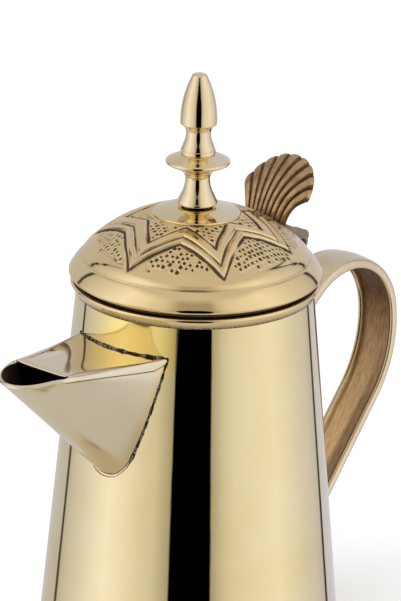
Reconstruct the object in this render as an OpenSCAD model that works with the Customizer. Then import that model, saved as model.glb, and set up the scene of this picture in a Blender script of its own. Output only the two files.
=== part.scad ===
// Jug-type dallah coffee pot, polished brass.
// Origin at the centre of the foot on the table, +Z up, spout towards -X, handle and hinge towards +X.

/* [Body] */
// Height of the rim above the table
body_h = 148; // [138:1:158]
// Outer radius of the body wall at the rim
rim_r = 44.5; // [44.3:0.1:44.7]
// Growth of the body radius for each millimetre downward
taper = 0.1; // [0.09:0.005:0.11]
// Thickness of the sheet brass
sheet = 1.4; // [1.2:0.1:1.6]
// Height of the half-round rim band
bead_h = 4.35; // [4:0.05:4.6]
// Height of the half-round foot band
foot_h = 5; // [4:0.5:6]

/* [Spout] */
// Depth of the spout's top below the rim at its root
spout_drop = 16; // [15:0.5:17]
// Turn of the spout about the pot's axis, away from the handle's plane
spout_turn = 4.2; // [0:0.2:5]
// Distance of the lip tip from the pot's axis
spout_reach = 104.4; // [102:0.2:106]
// Distance of the cover plate's front edge from the axis
mouth_x = 85.2; // [83:0.2:87]
// Width of the mouth at the cover plate
mouth_w = 26; // [24:0.2:28]
// Rise of the cover plate from the root to its front edge
mouth_rise = 4; // [3:0.1:4.5]
// Depth of the bottom of the spout below the rim
spout_depth = 65; // [62:1:67]
// Diameter of the pouring holes
hole_d = 6; // [4.5:0.5:6.5]

/* [Lid] */
// Radius of the spherical dome
dome_r = 62; // [62:0.1:62.4]
// Height of the crown of the dome above the rim
dome_crown = 27.7; // [27.6:0.05:27.8]
// Outer radius of the flange's edge
band_r = 47.7; // [47.5:0.1:47.9]
// Radial play between the lid's skirt and the mouth
skirt_play = 1.3; // [1.2:0.1:1.6]

/* [Hinge] */
// Distance of the hinge pin from the pot's axis
hinge_x = 52; // [52:0.1:52.2]
// Height of the hinge pin above the rim
hinge_z = 3.7; // [3.6:0.1:3.9]
// Radius of the knuckles
knuckle_r = 3; // [2.8:0.1:3]
// Diameter of the hinge pin
pin_d = 3; // [2.6:0.1:3.2]
// Length of the leaf along the pin
leaf_w = 16; // [15:0.5:17]
// Length of the middle knuckle
middle_w = 5.2; // [4.8:0.2:5.6]

/* [Handle] */
// Width of the strap
strap_w = 18.7; // [17:0.1:19]
// Depth of the strap's section at its rims
strap_t = 4.8; // [4.4:0.1:5]
// Outer radius of the upper bend
bend_upper = 31.8; // [31.5:0.1:32]
// Outer radius of the lower bend
bend_lower = 49.4; // [49:0.1:50]

/* [Finial] */
// Diameter of the threaded stud
stud_d = 4; // [3:0.5:4]

/* [Hidden] */
$fn = 96;

brass = [0.87, 0.74, 0.45];
antique = [0.62, 0.47, 0.26];
solder = [0.66, 0.65, 0.63];

// Outer radius of the body wall at a height above the table
function wall_r(z) = rim_r + taper * (body_h - z);
// Points on an arc in the plane, centre c, radius r, from angle a to angle b in n steps
function arc(c, r, a, b, n) = [for (i = [0:n]) c + r * [cos(a + (b - a) * i / n), sin(a + (b - a) * i / n)]];

// Extrudes an outline drawn as [x, z] evenly to both sides of the plane y = 0
module across(width)
    rotate([90, 0, 0]) translate([0, 0, -width / 2]) linear_extrude(width) children();

// Solid cone of the body's outer face, grown outward by extra
module body_cone(extra = 0)
    cylinder(h = body_h, r1 = wall_r(0) + extra, r2 = wall_r(body_h) + extra);

// ---------- body ----------
bead_z = body_h - bead_h;
mouth_r = wall_r(bead_z) - sheet;

module body_shell() color(brass) difference() {
    rotate_extrude() polygon([
        [wall_r(foot_h) - sheet, foot_h], [wall_r(foot_h), foot_h],
        [wall_r(bead_z), bead_z], [mouth_r, bead_z]]);
    // Pouring holes in a triangle behind the spout
    rows = 4;
    pitch = hole_d * 1.5;
    rotate([0, 0, spout_turn]) for (row = [0:rows - 1])
        for (k = [0:rows - 1 - row])
            translate([-rim_r, (k - (rows - 1 - row) / 2) * pitch,
                       body_h - spout_drop - pitch * (1 + row * 0.9)])
                rotate([0, 90, 0]) cylinder(h = 4 * hole_d, d = hole_d, center = true, $fn = 32);
}

// Flared lip: flat on top, turned sharply at its edge and sloping back to the wall
bead_r = 47.1;
bead_turn = 0.9;
mouth_turn = 0.6;
module rim_bead() color(brass) rotate_extrude() polygon(concat(
    [[wall_r(bead_z) + 0.4, bead_z]],
    arc([bead_r - bead_turn, body_h - bead_turn], bead_turn, -30, 90, 8),
    arc([mouth_r + mouth_turn, body_h - mouth_turn], mouth_turn, 90, 180, 4), [[mouth_r, bead_z]]));

ledge = 4;
module foot_ring() color(brass) rotate_extrude() {
    translate([wall_r(foot_h), foot_h / 2]) circle(foot_h / 2);
    translate([wall_r(foot_h) - ledge, 0]) square([ledge, foot_h]);
}

module base_plate() color(brass) translate([0, 0, foot_h])
    cylinder(h = sheet, r1 = wall_r(foot_h) - sheet, r2 = wall_r(foot_h + sheet) - sheet);

// ---------- spout ----------
spout_z = body_h - spout_drop;
root_half = 20.6;
root_x = 39;
edge_r = 1.6;
// One side of the soldered root from its top corner down, as [x, y, z below the top]
root_side = [[-39.5, 19.4, -1.6], [-43, 15.4, -21], [-45, 12.6, -31.5], [-46.5, 9.2, -41]];
// The rounded toe: a short slanting cylinder, this far in front of the axis and above the bottom
toe_r = 7.5;
toe_x = 44.6;
toe_up = 4.2;
toe_l = 10;
// The lip falls this far from the plate's front corners to its tip
lip_fall = 2;
// The hollow runs on this far above the sheet's edge, so that the spout is open at its top
open_rise = 3;

// A thin slice across the spout's top at the root, carried up by rise
module root_slice(half, rise)
    translate([-root_x, -half, -1]) cube([0.1, 2 * half, 1 + rise]);

// The lip in plan, from the plate's front edge to the rounded tip, sloping down to it
module lip_slab(inset, rise) {
    half = mouth_w / 2 - inset;
    nose = spout_reach - mouth_x - inset;
    translate([-mouth_x, 0, mouth_rise]) rotate([0, -atan(lip_fall / nose), 0])
        translate([0, 0, -1]) linear_extrude(1 + rise)
            polygon([for (i = [0:16]) let (a = -90 + 180 * i / 16) [-nose * cos(a), half * sin(a)]]);
}

// Solid inside the spout's sheet, drawn in by inset and carried up by rise
module spout_body(inset, rise) rotate([0, 0, spout_turn]) translate([0, 0, spout_z]) hull() {
    root_slice(root_half - inset, rise);
    lip_slab(inset, rise);
    for (p = root_side, side = [-1, 1])
        translate([p[0], side * p[1], p[2]]) sphere(edge_r - inset / 2, $fn = 16);
    translate([-toe_x, 0, spout_drop - spout_depth + toe_up])
        rotate([0, 135, 0]) cylinder(h = toe_l, r = toe_r - inset, center = true, $fn = 24);
}

module spout_trough() color(brass) difference() {
    spout_body(0, 0);
    spout_body(sheet, open_rise);
    body_cone();
}

// The plate's top falls a little from the root and then rises to its front edge
plate_dip = 0.2;
plate_steps = 8;
plate_run = mouth_x - root_x;
plate_line = [for (i = [0:plate_steps]) let (q = i / plate_steps)
    [-root_x - plate_run * q, spout_z + mouth_rise * ((1 + plate_dip) * q * q - plate_dip * q)]];

module spout_cover() color(brass) difference() {
    intersection() {
        spout_body(sheet, open_rise);
        rotate([0, 0, spout_turn]) across(2 * root_half) polygon(concat(plate_line,
            [for (i = [plate_steps:-1:0]) plate_line[i] - [0, sheet]]));
    }
    body_cone();
}

fillet = 0.8;
module spout_solder() color(solder) difference() {
    intersection() {
        spout_body(-fillet, 0);
        body_cone(fillet);
    }
    spout_body(0, 1);
    body_cone();
}

// ---------- handle ----------
// Centres of the two bends, [x, z] with z above the rim, and the angles between the stretches
turn_mid = 10;
turn_root = 132;
turn_leg = -38.7;
upper_c = [81, body_h - 41.5];
lower_c = upper_c - (bend_lower - bend_upper) * [cos(turn_mid), sin(turn_mid)];
crown = 1.2;
// Stretches run this far into each other, mm along the legs and degrees between the bends
overlap = 0.3;
// Every second stretch is this much slimmer all round, so that it enters its neighbour cleanly
slim = 0.05;
rim_w = 2;
web_t = 2.4;
// Lengths of the straight legs, which run on into the wall and are cut off there
leg_upper = 26;
leg_lower = 84;
// Half-widths of the flat and of the shoulder of the crown, as parts of the half-width
crown_flat = 0.25;
crown_shoulder = 0.62;

// Section of the strap: crowned outside, hollowed inside, at a distance r from the bend's centre
module strap_section(r, less = 0) {
    h = strap_w / 2 - less;
    hollow = strap_w / 2 - rim_w + less;
    back = less - strap_t;
    web = less - web_t;
    shoulder = -crown / 4 - less;
    translate([r, 0]) polygon([
        [back, -h], [-crown - less, -h], [shoulder, -h * crown_shoulder],
        [-less, -h * crown_flat], [-less, h * crown_flat],
        [shoulder, h * crown_shoulder], [-crown - less, h], [back, h], [back, hollow],
        [web, hollow - 1], [web, 1 - hollow], [back, -hollow]]);
}

// One bend of the strap about c, from angle a to angle b
module strap_bend(c, r, a, b, less = 0)
    translate([c[0], 0, c[1]]) rotate([90, 0, 0]) rotate([0, 0, a])
        rotate_extrude(angle = b - a) strap_section(r, less);

// A straight stretch that leaves the bend about c at angle a, clockwise where way is 1
module strap_leg(c, r, a, length, way, less = 0)
    translate([c[0], 0, c[1]]) rotate([90, 0, 0]) rotate([0, 0, a]) rotate([way * 90, 0, 0])
        translate([0, 0, -overlap]) linear_extrude(length + overlap) strap_section(r, less);

module strap_solid() {
    strap_bend(upper_c, bend_upper, turn_mid, turn_root);
    strap_bend(lower_c, bend_lower, turn_leg, turn_mid + overlap, slim);
    strap_leg(upper_c, bend_upper, turn_root, leg_upper, -1, slim);
    strap_leg(lower_c, bend_lower, turn_leg, leg_lower, 1);
}

module handle_strap() color(brass) difference() {
    strap_solid();
    body_cone();
}

// Solder round one root of the strap, between two depths below the rim
module root_solder(bottom, top) color(solder) difference() {
    intersection() {
        translate([rim_r, -strap_w / 2 - fillet, body_h - bottom])
            cube([20, strap_w + 2 * fillet, bottom - top]);
        body_cone(fillet);
    }
    strap_solid();
    body_cone();
}

module handle_solder_upper() root_solder(37.5, 27.5);
module handle_solder_lower() root_solder(132, 120);

// ---------- hinge ----------
axis_z = body_h + hinge_z;
side_gap = 0.3;
// Height of the bracket's foot plate, its face from the pin's axis, and the web's half-thickness
foot_plate_h = 12;
foot_plate_x = hinge_x - 4;
web_half = 2.4;
// Gap between the bracket and the rim band
bead_gap = 0.2;

module hinge_bracket() color(brass) difference() {
    union() {
        across(middle_w) translate([hinge_x, axis_z]) circle(knuckle_r);
        // Web from the knuckle down past the rim band to the wall
        across(middle_w) polygon([
            [rim_r, bead_z - foot_plate_h], [foot_plate_x, bead_z - foot_plate_h],
            [hinge_x + web_half, bead_z - 1], [hinge_x + web_half, axis_z],
            [hinge_x - web_half, axis_z], [hinge_x - web_half, bead_z - bead_gap],
            [rim_r, bead_z - bead_gap]]);
        // Foot plate soldered to the wall
        across(0.8 * leaf_w) translate([rim_r, bead_z - foot_plate_h])
            square([foot_plate_x - rim_r, foot_plate_h - bead_gap]);
    }
    body_cone();
    across(leaf_w) translate([hinge_x, axis_z]) circle(d = pin_d);
}

pin_proud = 0.3;
module hinge_pin() color(antique) across(leaf_w + 2 * pin_proud)
    translate([hinge_x, axis_z]) circle(d = pin_d);

pin_play = 0.1;
leaf_turn = 2.9;
// Outline of the sloping plate that rolls over the pin, from the pin's axis
leaf_line = concat(
    [[-2, -0.6], [-3.6, 2.7], [-11.5, 6.3], [-11.7, 10.4], [0, 5.1]],
    arc([0.6, 2.2], leaf_turn, 80, -10, 6), [[2, -0.6]]);

module hinge_leaf() color(brass) difference() {
    union() {
        across(leaf_w) translate([hinge_x, axis_z]) circle(knuckle_r);
        across(leaf_w) translate([hinge_x, axis_z]) polygon(leaf_line);
    }
    lid_solid();
    // Room for the middle knuckle
    translate([hinge_x - knuckle_r - 0.8, -middle_w / 2 - side_gap, body_h - 5])
        cube([20, middle_w + 2 * side_gap, 30]);
    across(leaf_w + 1) translate([hinge_x, axis_z]) circle(d = pin_d + pin_play);
}

// ---------- lid ----------
dome_c = dome_crown - dome_r;
seat_z = 2.4;
// The dome turns down into a short belt, then a cove, then a sloping flange with a tight edge
belt_r = 41.3;
belt_line = [[42, 11.15], [42.55, 10.4], [42.95, 9.75]];
flange_in = [43.3, 9.2];
flange_bend = 20;
flange_a = 47;
edge_turn = 1.4;
edge_c = [band_r - edge_turn, 3.1];

// Outer face of the lid from radius start to the lower edge of the flange, as [r, height over rim]
function lid_face(start) = concat(
    arc([0, dome_c], dome_r, acos(start / dome_r), acos(belt_r / dome_r), 24), belt_line,
    arc(flange_in - flange_bend * [cos(flange_a), sin(flange_a)], flange_bend, flange_a, 31, 6),
    arc(edge_c, edge_turn, 28, -75, 10));

// The lid as one solid lump, for cutting what sits on it
module lid_solid() translate([0, 0, body_h]) rotate_extrude()
    polygon(concat([[0, seat_z], [0, dome_crown]], lid_face(0.5), [[44, seat_z]]));

lid_sheet = 1.2;
bore_r = stud_d / 2 + 0.05;
seat_in = 44.2;
// Inside corner between the flange and the dome
inner_bend = [40.6, 8.6];
dome_in_r = dome_r - lid_sheet;
module lid_dome() color(brass) translate([0, 0, body_h]) rotate_extrude() polygon(concat(
    lid_face(bore_r),
    [[45.6, seat_z], [seat_in, seat_z], [seat_in, 6.4], inner_bend],
    arc([0, dome_c], dome_in_r, acos(39.5 / dome_in_r), acos(bore_r / dome_in_r), 24)));

skirt_r = mouth_r - skirt_play;
skirt_z = -5;
collar_r = 45.2;
// Gap between the collar and the top of the rim
collar_z = 0.3;
module lid_collar() color(brass) translate([0, 0, body_h]) rotate_extrude() polygon([
    [skirt_r - sheet, skirt_z], [skirt_r, skirt_z], [skirt_r, collar_z], [collar_r, collar_z],
    [collar_r, seat_z], [skirt_r - sheet, seat_z]]);

boss_r = 16.4;
// Radius and centre height of the boss's flatter face
boss_bend = 48.6;
boss_c = -19.6;
module lid_boss() color(brass) translate([0, 0, body_h]) rotate_extrude() polygon(concat(
    arc([0, dome_c], dome_r, acos(bore_r / dome_r), acos(boss_r / dome_r), 10),
    [[boss_r + 0.2, 26.1], [boss_r - 0.3, 26.5]],
    arc([0, boss_c], boss_bend, 71, 80.5, 10),
    [[bore_r, base_z]]));

// ---------- finial ----------
// Heights of its three pieces above the rim, and the top of the bore
base_z = 28.4;
disc_z = 42.2;
spire_z = 48.5;
tip_z = 78.9;
bore_z = 70;
disc_in = 6.3;
module turned(points) color(brass) translate([0, 0, body_h]) rotate_extrude()
    polygon(concat([[bore_r, points[0][1]]], points, [[bore_r, points[len(points) - 1][1]]]));

module finial_base() turned(concat(
    [[5.6, base_z]], arc([6.9, 30.1], 0.75, -60, 50, 6), arc([17.2, 38.7], 12.55, 218, 184, 8),
    arc([9.2, 38.7], 4.55, 180, 130, 6), [[disc_in, disc_z]]));

module finial_disc() turned(concat(
    [[disc_in, disc_z]], arc([11.2, 45.6], 0.95, -65, 65, 8), [[6.9, spire_z]]));

// Acorn spire: collar, waist and an ogive closed by a small flat
module finial_spire() color(brass) translate([0, 0, body_h]) rotate_extrude() polygon(concat(
    [[bore_r, spire_z], [6.5, spire_z], [6.55, 50.2]], arc([12.93, 55.4], 8.23, 218, 155, 10),
    arc([6.15, 60.5], 0.75, -60, 10, 5), arc([-30.2, 61.3], 37.1, 0.5, 27.4, 14),
    [[2.2, tip_z], [0, tip_z], [0, bore_z], [bore_r, bore_z]]));

washer_t = 1.2;
washer_r = 6.5;
washer_z = dome_crown - lid_sheet - 0.5 - washer_t;
nut_t = 3.2;
nut_w = 8.1;
nut_z = washer_z - nut_t;

module finial_stud() color(brass) translate([0, 0, body_h + nut_z - 0.8])
    cylinder(h = bore_z - nut_z + 0.6, d = stud_d, $fn = 48);

module finial_washer() color(brass) translate([0, 0, body_h + washer_z]) difference() {
    cylinder(h = washer_t, r = washer_r);
    translate([0, 0, -1]) cylinder(h = washer_t + 2, r = bore_r, $fn = 48);
}

module finial_nut() color(brass) translate([0, 0, body_h + nut_z]) difference() {
    cylinder(h = nut_t, d = nut_w, $fn = 6);
    translate([0, 0, -1]) cylinder(h = nut_t + 2, r = bore_r, $fn = 48);
}

// ---------- thumbpiece ----------
// Scallop that rises from the dome and leans back over the hinge. u runs across it from -1 to 1,
// t from its foot to its edge, and each rib is a Bezier curve
ribs = 9;
rib_steps = 4;
shell_steps = 10;
shell_t = 1.9;
function foot_pt(u) = [36 + 2 * u * u, 9.5 * u, 12.5 - 1.9 * u * u];
function low_pt(u) = [38.6 + 0.4 * u * u, 10.2 * u, 23 - 5 * u * u];
function high_pt(u) = [44.5 - 4.3 * u * u, 12.6 * u, 30.2 - 7 * u * u];
function edge_pt(u) = [44.8 + 11.5 * cos(90 * u), 16.2 * sin(90 * u), 23.9 + 13 * cos(90 * u)];
function skin_pt(u, t) = pow(1 - t, 3) * foot_pt(u) + 3 * pow(1 - t, 2) * t * low_pt(u)
    + 3 * (1 - t) * t * t * high_pt(u) + pow(t, 3) * edge_pt(u);
function skin_out(u, t) = [-0.93 + 0.4 * t, 0.4 * u, 0.36 + 0.4 * t];
// Rounded height of the ribs, deepest at the edge
function rib_rise(k, t) = (0.3 + 0.8 * t) * sin(180 * (k % rib_steps) / rib_steps);
columns = ribs * rib_steps;
shell_rows = 2 * (shell_steps + 1);

// Foot that joins the scallop to the leaf, as [x, height above the rim]
stem_w = 11;
stem_line = [[37, 12], [37.6, 18], [40.2, 19], [45, 13.2], [45, 11.2]];

// Front face from foot to edge, then the back from edge to foot
shell_points = [for (i = [0:shell_rows - 1], k = [0:columns])
    let (front = i <= shell_steps, u = 2 * k / columns - 1,
         t = (front ? i : shell_rows - 1 - i) / shell_steps)
    skin_pt(u, t) + (front ? rib_rise(k, t) : -shell_t) * skin_out(u, t)];
function cell(i, k) = (i % shell_rows) * (columns + 1) + k;
shell_faces = concat(
    [for (i = [0:shell_rows - 1], k = [0:columns - 1])
        [cell(i, k), cell(i, k + 1), cell(i + 1, k + 1), cell(i + 1, k)]],
    [for (i = [0:shell_steps - 1])
        [cell(i, 0), cell(i + 1, 0), cell(shell_rows - 2 - i, 0), cell(shell_rows - 1 - i, 0)]],
    [for (i = [0:shell_steps - 1])
        [cell(shell_rows - 1 - i, columns), cell(shell_rows - 2 - i, columns),
         cell(i + 1, columns), cell(i, columns)]]);

module thumbpiece() color(antique) difference() {
    union() {
        translate([0, 0, body_h]) polyhedron(shell_points, shell_faces);
        translate([0, 0, body_h]) across(stem_w) polygon(stem_line);
    }
    lid_solid();
    hinge_leaf();
}

body_shell();
rim_bead();
base_plate();
foot_ring();
spout_trough();
spout_cover();
spout_solder();
handle_strap();
handle_solder_upper();
handle_solder_lower();
hinge_bracket();
hinge_pin();
lid_dome();
lid_collar();
lid_boss();
finial_base();
finial_disc();
finial_spire();
finial_stud();
finial_washer();
finial_nut();
hinge_leaf();
thumbpiece();
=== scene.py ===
"""A polished brass coffee pot with a chased hinged lid, for Blender, on its CAD frame."""

import math

import bpy
import numpy as np
from mathutils import Matrix, Vector


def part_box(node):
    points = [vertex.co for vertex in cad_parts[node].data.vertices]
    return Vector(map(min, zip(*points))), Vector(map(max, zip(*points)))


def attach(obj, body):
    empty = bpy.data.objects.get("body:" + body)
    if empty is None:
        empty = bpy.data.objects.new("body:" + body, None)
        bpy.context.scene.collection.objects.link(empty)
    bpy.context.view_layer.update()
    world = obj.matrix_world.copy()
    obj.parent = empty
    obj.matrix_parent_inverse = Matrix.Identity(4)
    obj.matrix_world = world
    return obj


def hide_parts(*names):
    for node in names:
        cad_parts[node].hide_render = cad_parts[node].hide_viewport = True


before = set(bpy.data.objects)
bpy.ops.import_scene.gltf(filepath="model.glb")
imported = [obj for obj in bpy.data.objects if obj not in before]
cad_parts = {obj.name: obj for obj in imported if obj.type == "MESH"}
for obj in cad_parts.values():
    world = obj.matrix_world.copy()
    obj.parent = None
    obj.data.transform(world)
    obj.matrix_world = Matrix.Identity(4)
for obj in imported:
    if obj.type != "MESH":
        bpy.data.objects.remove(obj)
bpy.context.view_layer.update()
RNG = np.random.default_rng(7)
MM = 0.001

# ---------- key heights and radii, in millimetres, from the CAD frame ----------
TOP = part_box("rim_bead")[1].z / MM
BEAD_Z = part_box("rim_bead")[0].z / MM
FOOT_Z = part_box("foot_ring")[1].z / MM
WALL_TOP = 44.5
TAPER = 0.1
SHEET = 1.4
STRAP_W = (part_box("handle_strap")[1].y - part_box("handle_strap")[0].y) / MM
LIP_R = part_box("rim_bead")[1].x / MM


def wall(z):
    """Outer radius of the body wall at a height."""
    return WALL_TOP + TAPER * (TOP - z)


# ---------- small geometry tools ----------
def arc(c, r, a, b, n):
    """Points on an arc about c from angle a to angle b, in degrees."""
    t = np.radians(np.linspace(a, b, n + 1))
    return [(c[0] + r * math.cos(x), c[1] + r * math.sin(x)) for x in t]


SOFT_STEPS = 5
SOFT_LIMIT = 14


def soften(points, radius):
    """A closed outline with its corners sharper than the limit, in degrees, rounded off."""
    out = []
    pts = [np.array(p, float) for p in points]
    for i, p in enumerate(pts):
        a, b = pts[i - 1] - p, pts[(i + 1) % len(pts)] - p
        la, lb = np.linalg.norm(a), np.linalg.norm(b)
        if la < 1e-9 or lb < 1e-9:
            continue
        turn = 180 - math.degrees(math.acos(np.clip(a @ b / la / lb, -1, 1)))
        if turn < SOFT_LIMIT:
            out.append(p)
            continue
        cut = min(radius, 0.45 * la, 0.45 * lb)
        s, e = p + a / la * cut, p + b / lb * cut
        for t in np.linspace(0, 1, SOFT_STEPS + 1):
            out.append((1 - t) ** 2 * s + 2 * t * (1 - t) * p + t * t * e)
    return np.array(out)


def spline(points, n, closed=False):
    """A Catmull-Rom curve through the points, n samples between each pair."""
    p = np.array(points, float)
    if closed:
        p = np.vstack([p[-1], p, p[0], p[1]])
    else:
        p = np.vstack([2 * p[0] - p[1], p, 2 * p[-1] - p[-2]])
    out = []
    for i in range(1, len(p) - 2):
        for t in np.arange(n) / n:
            a, b, c, d = p[i - 1], p[i], p[i + 1], p[i + 2]
            out.append(0.5 * (2 * b + (c - a) * t + (2 * a - 5 * b + 4 * c - d) * t * t
                              + (3 * b - a - 3 * c + d) * t ** 3))
    if not closed:
        out.append(p[-2])
    return np.array(out)


def curve(points, n):
    """An open spline as a list of points, to join to other lists."""
    return [tuple(p) for p in spline(points, n)]


def ease(x, low, high):
    """Smooth step from 0 at low to 1 at high."""
    t = np.clip((np.asarray(x, float) - low) / (high - low), 0, 1)
    return t * t * (3 - 2 * t)


def lumps(points, size, seed, octaves):
    """Cheap smooth noise at points (n, 3), in millimetres, about -1 to 1."""
    rng = np.random.default_rng(seed)
    total = np.zeros(len(points))
    for o in range(octaves):
        for _ in range(5):
            k = rng.normal(size=3)
            k *= 2 * math.pi / (size / 2 ** o) / np.linalg.norm(k)
            total += np.sin(points @ k + rng.uniform(0, 6.3)) / 2 ** o
    return total / 5


def mesh_object(name, verts, faces, patina_and_shade=None, sharp=None):
    """A mesh object from millimetre points; the dark value, 0 to 1 per point, marks real tarnish and
    painted shade alike.
    """
    mesh = bpy.data.meshes.new(name)
    mesh.from_pydata((np.asarray(verts) * MM).tolist(), [], faces)
    mesh.validate()
    mesh.shade_smooth()
    if sharp:
        mesh.set_sharp_from_angle(angle=math.radians(sharp))
    if patina_and_shade is not None:
        layer = mesh.attributes.new("patina_and_shade", "FLOAT", "POINT")
        layer.data.foreach_set("value", np.asarray(patina_and_shade, np.float32).ravel())
    obj = bpy.data.objects.new(name, mesh)
    bpy.context.scene.collection.objects.link(obj)
    return obj


def grid_faces(rows, cols, wrap_rows=False, wrap_cols=False, flip=False, base=0):
    """Quads of a grid of points stored row by row."""
    faces = []
    for i in range(rows if wrap_rows else rows - 1):
        for j in range(cols if wrap_cols else cols - 1):
            a = base + i * cols + j
            b = base + i * cols + (j + 1) % cols
            c = base + ((i + 1) % rows) * cols + (j + 1) % cols
            d = base + ((i + 1) % rows) * cols + j
            faces.append((a, d, c, b) if flip else (a, b, c, d))
    return faces


def place(obj, body, slot, material, *nodes):
    """Rides the object on its body in place of the CAD nodes, with its material. The slot is not used.
    """
    obj.data.materials.clear()
    obj.data.materials.append(material)
    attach(obj, body)
    if nodes:
        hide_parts(*nodes)
    return obj


def soft_edges(obj, width, steps, limit):
    """Rounds off the edges sharper than the limit, in degrees."""
    soft = obj.modifiers.new("edge", "BEVEL")
    soft.width, soft.segments, soft.limit_method = width * MM, steps, "ANGLE"
    soft.angle_limit = math.radians(limit)


def lathe(name, profile, steps, patina_and_shade=None):
    """A closed body of revolution from an outline [(radius, height)], counter-clockwise."""
    prof = np.array(profile, float)
    t = np.linspace(0, 2 * math.pi, steps, endpoint=False)
    r, z = prof[:, 0][:, None], prof[:, 1][:, None]
    verts = np.stack([r * np.cos(t), r * np.sin(t), z + 0 * t], -1).reshape(-1, 3)
    faces = grid_faces(len(prof), steps, wrap_rows=True, wrap_cols=True, flip=True)
    if patina_and_shade is not None:
        patina_and_shade = np.repeat(np.asarray(patina_and_shade, float), steps)
    return mesh_object(name, verts, faces, patina_and_shade)


def two_caps(n, total):
    """The faces that close both ends of a tube of n points a ring."""
    return [tuple(range(n)), tuple(range(total - 1, total - n - 1, -1))]


def flip_if_inside_out(obj):
    """Turns the faces outward when the closed mesh has a negative volume."""
    mesh = obj.data
    mesh.calc_loop_triangles()
    n = len(mesh.loop_triangles)
    tri = np.empty(n * 3, np.int32)
    mesh.loop_triangles.foreach_get("vertices", tri)
    co = np.empty(len(mesh.vertices) * 3, np.float32)
    mesh.vertices.foreach_get("co", co)
    p = co.reshape(-1, 3)[tri.reshape(-1, 3)]
    if np.einsum("ij,ij->", p[:, 0], np.cross(p[:, 1], p[:, 2])) < 0:
        mesh.flip_normals()
    return obj


# ---------- materials ----------
class Tree:
    """A material's node tree, with short cuts for building it."""

    def __init__(self, name):
        self.mat = bpy.data.materials.new(name)
        self.mat.use_nodes = True
        self.tree = self.mat.node_tree
        self.where = self.add("ShaderNodeTexCoord").outputs["Object"]

    def add(self, kind, **values):
        node = self.tree.nodes.new(kind)
        for key, value in values.items():
            setattr(node, key, value)
        return node

    def link(self, a, b):
        self.tree.links.new(a, b)

    def feed(self, node, keys, values):
        """Links or sets a node's inputs; a colour has three parts, and None is left as it is."""
        for key, value in zip(keys, values):
            socket = node.inputs[key]
            if isinstance(value, tuple):
                socket.default_value = (*value, 1)
            elif isinstance(value, (int, float)):
                socket.default_value = value
            elif value is not None:
                self.link(value, socket)

    def parts(self, vector):
        node = self.add("ShaderNodeSeparateXYZ")
        self.link(vector, node.inputs[0])
        return node.outputs

    def spread(self, source, low, high, to_low=0.0, to_high=1.0, kind="LINEAR"):
        node = self.add("ShaderNodeMapRange", interpolation_type=kind)
        self.feed(node, ("Value", "From Min", "From Max", "To Min", "To Max"),
                  (source, low, high, to_low, to_high))
        return node.outputs["Result"]

    def maths(self, what, a, b=0.0):
        node = self.add("ShaderNodeMath", operation=what)
        self.feed(node, (0, 1), (a, b))
        return node.outputs[0]

    def mix(self, factor, a, b):
        node = self.add("ShaderNodeMix", data_type="RGBA")
        self.feed(node, ("Factor", 6, 7), (factor, a, b))
        return node.outputs[2]


class Surface(Tree):
    """A surface material: noise, attributes, bumps and a Principled shader."""

    def noise(self, scale, detail=3.0, stretch=(1, 1, 1), rough=0.5):
        mapping = self.add("ShaderNodeMapping")
        mapping.inputs["Scale"].default_value = stretch
        self.link(self.where, mapping.inputs["Vector"])
        node = self.add("ShaderNodeTexNoise")
        self.feed(node, ("Vector", "Scale", "Detail", "Roughness"),
                  (mapping.outputs[0], scale, detail, rough))
        return node.outputs["Fac"]

    def blotches(self, source, low, high, a, b):
        """Two colours mixed by a noise between two of its levels."""
        return self.mix(self.spread(source, low, high), a, b)

    def attribute(self, name):
        return self.add("ShaderNodeAttribute", attribute_name=name).outputs["Fac"]

    def bump(self, height, strength, distance, below=None):
        node = self.add("ShaderNodeBump")
        self.feed(node, ("Height", "Strength", "Distance", "Normal"),
                  (height, strength, distance, below))
        return node.outputs["Normal"]

    def ripples(self, waviness, scale):
        """Faint ripples of handwork under hairline scratches."""
        normal = self.bump(self.noise(scale, 1.5), waviness, 0.0006)
        return self.bump(self.noise(420, 4, (1, 1, 0.08)), 0.05, 0.00012, normal)

    def finish(self, colour, rough, normal=None, metallic=1.0, glow=0.0):
        shader = self.tree.nodes["Principled BSDF"]
        self.feed(shader, ("Base Color", "Roughness", "Metallic", "Normal"),
                  (colour, rough, metallic, normal))
        self.feed(shader, ("Emission Color", "Emission Strength"), ((1, 1, 1), glow))
        return self.mat


BRASS = (0.85, 0.715, 0.435)
BRASS_DEEP = (0.81, 0.66, 0.37)
LID_BRASS = (0.86, 0.67, 0.36)
LID_DEEP = (0.80, 0.59, 0.29)
TARNISH_AND_SHADE = (0.055, 0.035, 0.018)
SPOUT_REFLECTION_GOLD = (0.91, 0.71, 0.25)


def polished_brass(name, waviness=0.25, wave_scale=26.0, rough=0.045, patina_and_shade=False,
                   light=BRASS, deep=BRASS_DEEP):
    """Mirror-polished brass with faint ripples, hairline scratches and clouding."""
    n = Surface(name)
    colour = n.blotches(n.noise(34, 4), 0.35, 0.7, light, deep)
    specks = n.spread(n.noise(900, 2, rough=0.7), 0.72, 0.78)
    roughness = n.spread(n.noise(60, 5, (1, 1, 0.3)), 0.3, 0.75, rough * 0.6, rough * 1.7)
    roughness = n.maths("ADD", roughness, n.maths("MULTIPLY", specks, 0.12))
    metallic = 1.0
    # The dark attribute pulls the colour towards near-black: real tarnish in chased lines and grooves,
    # and painted shade under the rim, in the lid's gap and cove and along the spout's fold.
    if patina_and_shade:
        dark = n.attribute("patina_and_shade")
        grain = n.spread(n.noise(1400, 3), 0.3, 0.7, 0.75, 1.25)
        dark = n.spread(n.maths("MULTIPLY", dark, grain), 0.12, 0.8)
        colour = n.mix(dark, colour, TARNISH_AND_SHADE)
        roughness = n.maths("ADD", roughness, n.maths("MULTIPLY", dark, 0.5))
        metallic = n.spread(dark, 0.0, 1.0, 1.0, 0.25)
    return n.finish(colour, roughness, n.ripples(waviness, wave_scale), metallic)


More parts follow.
